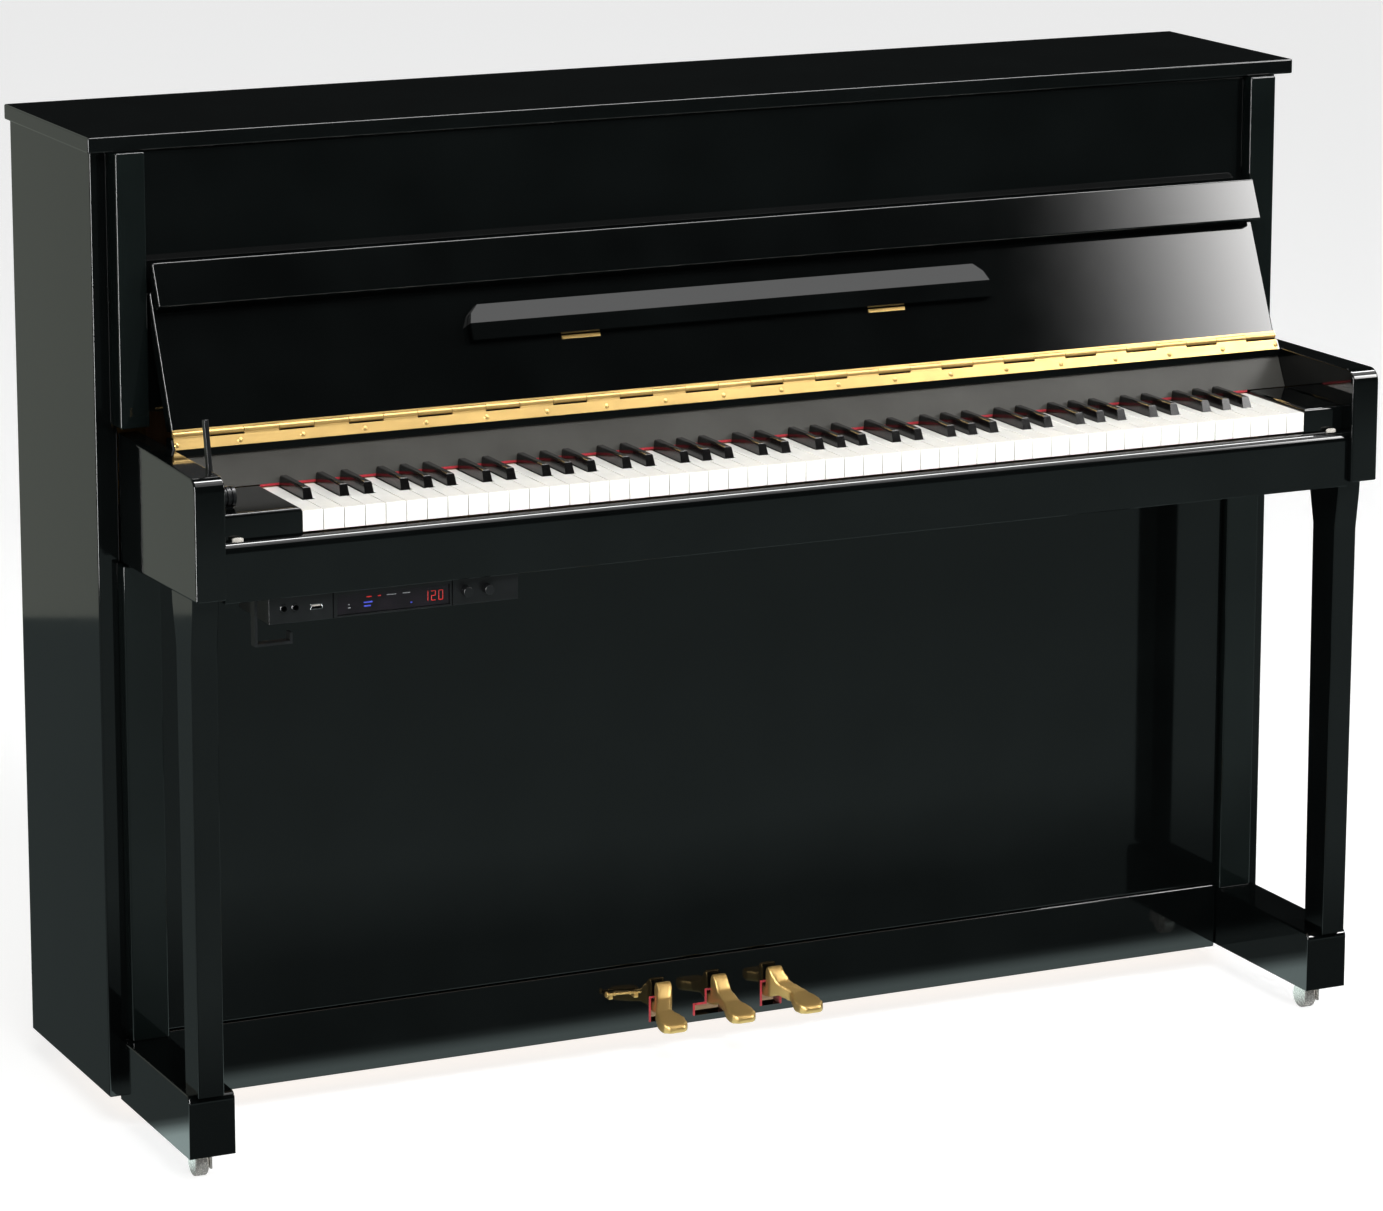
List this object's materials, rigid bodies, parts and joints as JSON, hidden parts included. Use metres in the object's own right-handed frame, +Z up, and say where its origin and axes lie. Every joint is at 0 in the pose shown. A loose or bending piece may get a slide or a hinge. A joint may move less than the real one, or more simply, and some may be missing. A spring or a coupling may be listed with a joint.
{
  "type": "upright piano",
  "caption": "Black upright piano with a folding fallboard, brass pedals and a small control unit under the keybed.",
  "frame": {"origin": "centre of the outer box at floor level", "axes": "+X along the keyboard towards the treble, -Y faces the player, +Z up"},
  "size_m": [1.484, 0.536, 1.108],
  "materials": {
    "black_polyester": "polished",
    "plain_wood": "satin",
    "spruce": "satin",
    "cast_iron": "satin",
    "steel": "polished",
    "brass": "polished",
    "white_key_top": "satin",
    "black_key_top": "satin",
    "red_felt": "matte",
    "hammer_felt": "matte",
    "black_plastic": "satin",
    "display_plastic": "gloss",
    "caster_wheel": "polished"
  },
  "bodies": {
    "case": {"side_boards": "black_polyester", "arms": "black_polyester", "legs": "black_polyester", "toe_blocks": "black_polyester", "pilasters": "black_polyester", "upper_panel": "black_polyester", "lower_panel": "black_polyester", "bottom_rail": "black_polyester", "bottom_board": "plain_wood", "keybed": "plain_wood", "key_slip": "black_polyester", "key_blocks": "black_polyester", "nameboard": "black_polyester", "nameboard_felt": "red_felt", "back_frame": "plain_wood", "soundboard": "spruce", "iron_plate": "cast_iron", "strings": "steel", "tuning_pins": "steel", "key_frame": "plain_wood", "action_frame": "plain_wood", "hammers": "hammer_felt", "hinge_fixed_leaf": "brass", "control_unit": "black_plastic", "control_display": "display_plastic", "headphone_hook": "black_plastic", "damper_barrel": "black_plastic"},
    "lid": {"lid": "black_polyester"},
    "fallboard": {"fallboard": "black_polyester", "fallboard_brass": "brass"},
    "flap": {"fallboard_flap": "black_polyester"},
    "music_ledge": {"music_ledge": "black_polyester"},
    "damper_lever": {"damper_lever": "black_plastic"},
    "left_pedal": {"left_pedal": "brass"},
    "middle_pedal": {"middle_pedal": "brass"},
    "right_pedal": {"right_pedal": "brass"},
    "volume_knob": {"volume_knob": "black_plastic"},
    "mode_knob": {"mode_knob": "black_plastic"},
    "white_keys": {"white_keys": "white_key_top"},
    "black_keys": {"black_keys": "black_key_top"},
    "key_c4": {"key_c4": "white_key_top"},
    "key_d4": {"key_d4": "white_key_top"},
    "key_e4": {"key_e4": "white_key_top"},
    "key_f4": {"key_f4": "white_key_top"},
    "key_g4": {"key_g4": "white_key_top"},
    "key_a4": {"key_a4": "white_key_top"},
    "key_b4": {"key_b4": "white_key_top"},
    "key_c_sharp4": {"key_c_sharp4": "black_key_top"},
    "key_d_sharp4": {"key_d_sharp4": "black_key_top"},
    "key_f_sharp4": {"key_f_sharp4": "black_key_top"},
    "key_g_sharp4": {"key_g_sharp4": "black_key_top"},
    "key_a_sharp4": {"key_a_sharp4": "black_key_top"},
    "front_left_caster": {"front_left_caster_fork": "steel"},
    "front_left_wheel": {"front_left_caster_wheel": "caster_wheel"},
    "front_right_caster": {"front_right_caster_fork": "steel"},
    "front_right_wheel": {"front_right_caster_wheel": "caster_wheel"},
    "rear_left_caster": {"rear_left_caster_fork": "steel"},
    "rear_left_wheel": {"rear_left_caster_wheel": "caster_wheel"},
    "rear_right_caster": {"rear_right_caster_fork": "steel"},
    "rear_right_wheel": {"rear_right_caster_wheel": "caster_wheel"}
  },
  "joints": [
    {"name": "lid_hinge", "type": "hinge", "parent": "case", "child": "lid", "pos_m": [0, 0.258, 1.091], "axis": [-1, 0, 0], "range_deg": [0, 90]},
    {"name": "fallboard_hinge", "type": "hinge", "parent": "case", "child": "fallboard", "pos_m": [0, -0.1, 0.796], "axis": [-1, 0, 0], "range_deg": [-129, 0]},
    {"name": "flap_hinge", "type": "hinge", "parent": "fallboard", "child": "flap", "pos_m": [0, -0.04004, 0.94502], "axis": [1, 0, 0], "range_deg": [-100, 0]},
    {"name": "music_ledge_hinge", "type": "hinge", "parent": "fallboard", "child": "music_ledge", "pos_m": [0, -0.07281, 0.86381], "axis": [1, 0, 0], "range_deg": [0, 90]},
    {"name": "damper_lever_pivot", "type": "hinge", "parent": "case", "child": "damper_lever", "pos_m": [-0.679, -0.215, 0.751], "axis": [1, 0, 0], "range_deg": [-70, 0]},
    {"name": "left_pedal_pivot", "type": "hinge", "parent": "case", "child": "left_pedal", "pos_m": [-0.071, 0.06, 0.056], "axis": [1, 0, 0], "range_deg": [0, 6], "stiffness_Nm_per_rad": 6, "springref_deg": -10},
    {"name": "middle_pedal_pivot", "type": "hinge", "parent": "case", "child": "middle_pedal", "pos_m": [0, 0.06, 0.056], "axis": [1, 0, 0], "range_deg": [0, 6], "stiffness_Nm_per_rad": 6, "springref_deg": -10},
    {"name": "right_pedal_pivot", "type": "hinge", "parent": "case", "child": "right_pedal", "pos_m": [0.071, 0.06, 0.056], "axis": [1, 0, 0], "range_deg": [0, 6], "stiffness_Nm_per_rad": 6, "springref_deg": -10},
    {"name": "volume_knob_spin", "type": "hinge", "parent": "case", "child": "volume_knob", "pos_m": [-0.407, -0.248, 0.6318], "axis": [0, 1, 0], "range_deg": [-150, 150]},
    {"name": "mode_knob_spin", "type": "hinge", "parent": "case", "child": "mode_knob", "pos_m": [-0.3825, -0.248, 0.6318], "axis": [0, 1, 0], "range_deg": [-150, 150]},
    {"name": "key_c4_pivot", "type": "hinge", "parent": "case", "child": "key_c4", "pos_m": [-0.03775, -0.031, 0.713], "axis": [1, 0, 0], "range_deg": [0, 2.6], "stiffness_Nm_per_rad": 0.6, "springref_deg": -8.02},
    {"name": "key_d4_pivot", "type": "hinge", "parent": "case", "child": "key_d4", "pos_m": [-0.01425, -0.031, 0.713], "axis": [1, 0, 0], "range_deg": [0, 2.6], "stiffness_Nm_per_rad": 0.6, "springref_deg": -8.02},
    {"name": "key_e4_pivot", "type": "hinge", "parent": "case", "child": "key_e4", "pos_m": [0.00925, -0.031, 0.713], "axis": [1, 0, 0], "range_deg": [0, 2.6], "stiffness_Nm_per_rad": 0.6, "springref_deg": -8.02},
    {"name": "key_f4_pivot", "type": "hinge", "parent": "case", "child": "key_f4", "pos_m": [0.03275, -0.031, 0.713], "axis": [1, 0, 0], "range_deg": [0, 2.6], "stiffness_Nm_per_rad": 0.6, "springref_deg": -8.02},
    {"name": "key_g4_pivot", "type": "hinge", "parent": "case", "child": "key_g4", "pos_m": [0.05625, -0.031, 0.713], "axis": [1, 0, 0], "range_deg": [0, 2.6], "stiffness_Nm_per_rad": 0.6, "springref_deg": -8.02},
    {"name": "key_a4_pivot", "type": "hinge", "parent": "case", "child": "key_a4", "pos_m": [0.07975, -0.031, 0.713], "axis": [1, 0, 0], "range_deg": [0, 2.6], "stiffness_Nm_per_rad": 0.6, "springref_deg": -8.02},
    {"name": "key_b4_pivot", "type": "hinge", "parent": "case", "child": "key_b4", "pos_m": [0.10325, -0.031, 0.713], "axis": [1, 0, 0], "range_deg": [0, 2.6], "stiffness_Nm_per_rad": 0.6, "springref_deg": -8.02},
    {"name": "key_c_sharp4_pivot", "type": "hinge", "parent": "case", "child": "key_c_sharp4", "pos_m": [-0.0282, -0.031, 0.713], "axis": [1, 0, 0], "range_deg": [0, 2.6], "stiffness_Nm_per_rad": 0.6, "springref_deg": -8.02},
    {"name": "key_d_sharp4_pivot", "type": "hinge", "parent": "case", "child": "key_d_sharp4", "pos_m": [-0.0003, -0.031, 0.713], "axis": [1, 0, 0], "range_deg": [0, 2.6], "stiffness_Nm_per_rad": 0.6, "springref_deg": -8.02},
    {"name": "key_f_sharp4_pivot", "type": "hinge", "parent": "case", "child": "key_f_sharp4", "pos_m": [0.0413, -0.031, 0.713], "axis": [1, 0, 0], "range_deg": [0, 2.6], "stiffness_Nm_per_rad": 0.6, "springref_deg": -8.02},
    {"name": "key_g_sharp4_pivot", "type": "hinge", "parent": "case", "child": "key_g_sharp4", "pos_m": [0.068, -0.031, 0.713], "axis": [1, 0, 0], "range_deg": [0, 2.6], "stiffness_Nm_per_rad": 0.6, "springref_deg": -8.02},
    {"name": "key_a_sharp4_pivot", "type": "hinge", "parent": "case", "child": "key_a_sharp4", "pos_m": [0.0947, -0.031, 0.713], "axis": [1, 0, 0], "range_deg": [0, 2.6], "stiffness_Nm_per_rad": 0.6, "springref_deg": -8.02},
    {"name": "white_keys_pivot", "type": "hinge", "parent": "case", "child": "white_keys", "pos_m": [0.021, -0.031, 0.713], "axis": [1, 0, 0], "range_deg": [0, 2.6], "stiffness_Nm_per_rad": 27, "springref_deg": -8.02},
    {"name": "black_keys_pivot", "type": "hinge", "parent": "case", "child": "black_keys", "pos_m": [0.0125, -0.031, 0.713], "axis": [1, 0, 0], "range_deg": [0, 2.6], "stiffness_Nm_per_rad": 18.6, "springref_deg": -8.02},
    {"name": "front_left_caster_swivel", "type": "hinge", "parent": "case", "child": "front_left_caster", "pos_m": [-0.694, -0.19, 0.0346], "axis": [0, 0, 1], "continuous": true},
    {"name": "front_left_wheel_spin", "type": "hinge", "parent": "front_left_caster", "child": "front_left_wheel", "pos_m": [-0.694, -0.178, 0.015], "axis": [1, 0, 0], "continuous": true},
    {"name": "front_right_caster_swivel", "type": "hinge", "parent": "case", "child": "front_right_caster", "pos_m": [0.694, -0.19, 0.0346], "axis": [0, 0, 1], "continuous": true},
    {"name": "front_right_wheel_spin", "type": "hinge", "parent": "front_right_caster", "child": "front_right_wheel", "pos_m": [0.694, -0.178, 0.015], "axis": [1, 0, 0], "continuous": true},
    {"name": "rear_left_caster_swivel", "type": "hinge", "parent": "case", "child": "rear_left_caster", "pos_m": [-0.66, 0.205, 0.0346], "axis": [0, 0, 1], "continuous": true},
    {"name": "rear_left_wheel_spin", "type": "hinge", "parent": "rear_left_caster", "child": "rear_left_wheel", "pos_m": [-0.66, 0.217, 0.015], "axis": [1, 0, 0], "continuous": true},
    {"name": "rear_right_caster_swivel", "type": "hinge", "parent": "case", "child": "rear_right_caster", "pos_m": [0.66, 0.205, 0.0346], "axis": [0, 0, 1], "continuous": true},
    {"name": "rear_right_wheel_spin", "type": "hinge", "parent": "rear_right_caster", "child": "rear_right_wheel", "pos_m": [0.66, 0.217, 0.015], "axis": [1, 0, 0], "continuous": true}
  ],
  "couplings": [
    {"joint": "flap_hinge", "follows": "fallboard_hinge", "ratio": 0.77519},
    {"joint": "damper_lever_pivot", "follows": "fallboard_hinge", "ratio": 0.54264}
  ]
}
